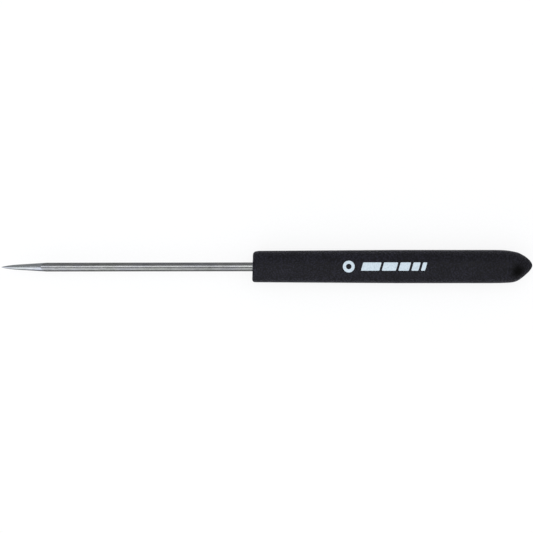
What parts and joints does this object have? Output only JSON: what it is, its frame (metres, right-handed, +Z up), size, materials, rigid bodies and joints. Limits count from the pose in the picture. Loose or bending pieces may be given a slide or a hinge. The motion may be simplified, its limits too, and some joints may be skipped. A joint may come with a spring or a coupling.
{
  "type": "scratch awl",
  "caption": "Slim scratch awl: round ground steel point in a straight black cushion grip with a bullet-shaped butt, for scribing and piercing.",
  "frame": {"origin": "on the surface the awl lies on, directly under the middle of its length and under its axis", "axes": "+X along the awl from the point to the butt of the grip, +Z up through the middle of the printed mark, +Y to complete the right-handed set"},
  "size_m": [0.2032, 0.0128, 0.0128],
  "materials": {
    "blade_steel": "centreless-ground hardened steel, fine marks round the rod, the point ground along its length",
    "core_nylon": "as-moulded natural nylon",
    "grip_vinyl": "matt dipped cushion vinyl with a fine orange-peel grain",
    "mark_ink": "flat pad-printed ink"
  },
  "bodies": {
    "root": {"blade": "blade_steel", "handle_core": "core_nylon", "cushion_grip": "grip_vinyl", "grip_mark": "mark_ink"}
  },
  "joints": []
}
